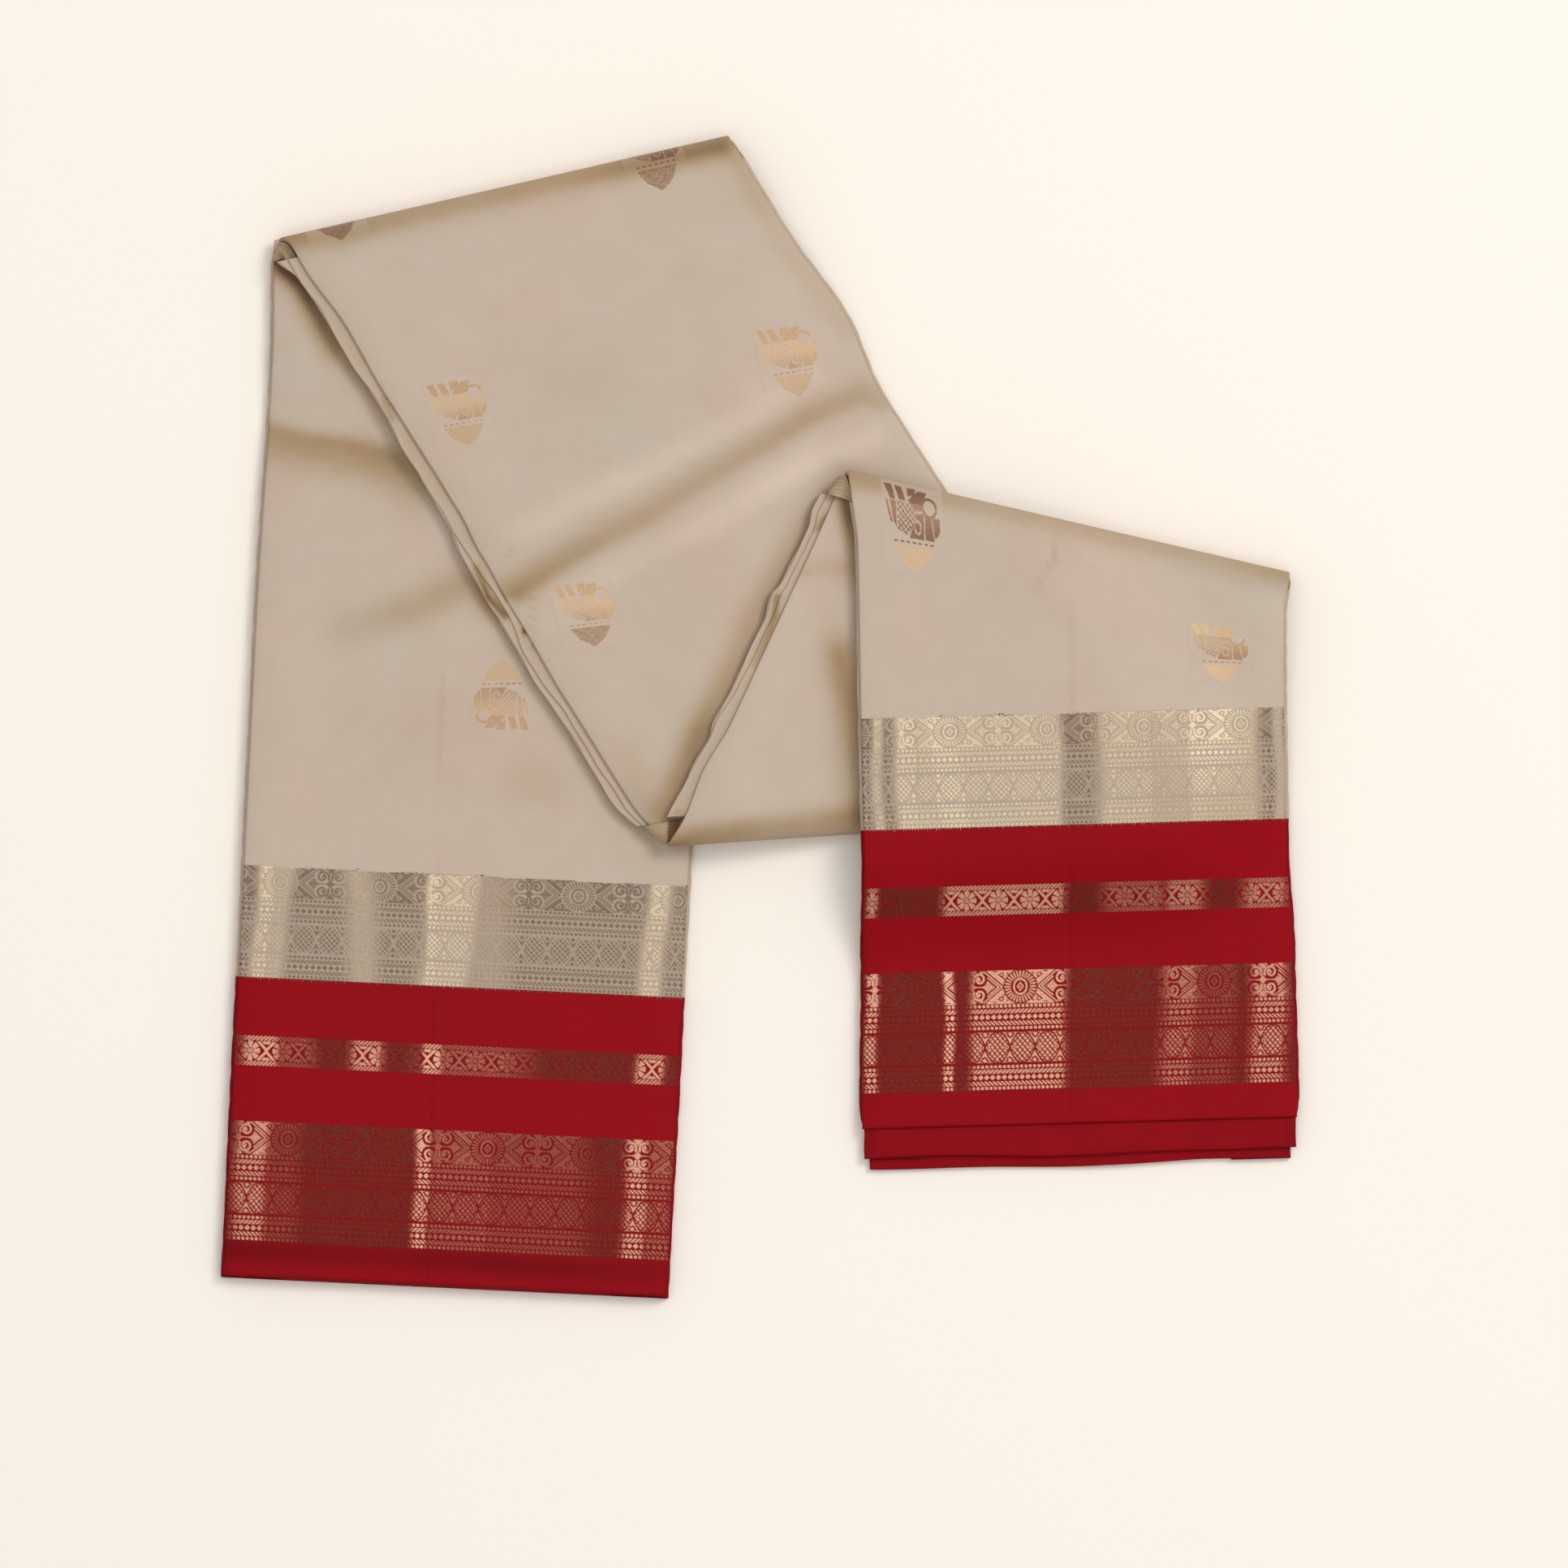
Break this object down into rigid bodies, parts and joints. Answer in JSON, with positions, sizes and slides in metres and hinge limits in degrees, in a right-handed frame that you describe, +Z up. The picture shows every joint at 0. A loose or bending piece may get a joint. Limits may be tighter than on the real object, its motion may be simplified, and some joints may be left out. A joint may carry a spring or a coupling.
{
  "type": "folded silk saree",
  "caption": "Cream silk saree with a contrast red border, folded into a long flat packet and laid in a zigzag of overlapping stretches.",
  "frame": {"origin": "middle of the folded saree's footprint, on the surface that it lies on", "axes": "+X to the right across the two legs, +Y from the hems towards the folds, +Z up from the surface"},
  "size_m": [0.4467, 0.4831, 0.0257],
  "materials": {
    "cream_silk": "soft silk sheen",
    "red_border": "silk with woven zari"
  },
  "bodies": {
    "root": {"left_leg_body": "cream_silk", "left_leg_body_layers": "cream_silk", "left_leg_border": "red_border", "left_leg_border_layers": "red_border", "diagonal_body": "cream_silk", "diagonal_layers": "cream_silk", "third_body": "cream_silk", "third_layers": "cream_silk", "right_leg_body": "cream_silk", "right_leg_body_layers": "cream_silk", "right_leg_border": "red_border", "right_leg_border_second": "red_border", "right_leg_border_third": "red_border"}
  },
  "joints": []
}
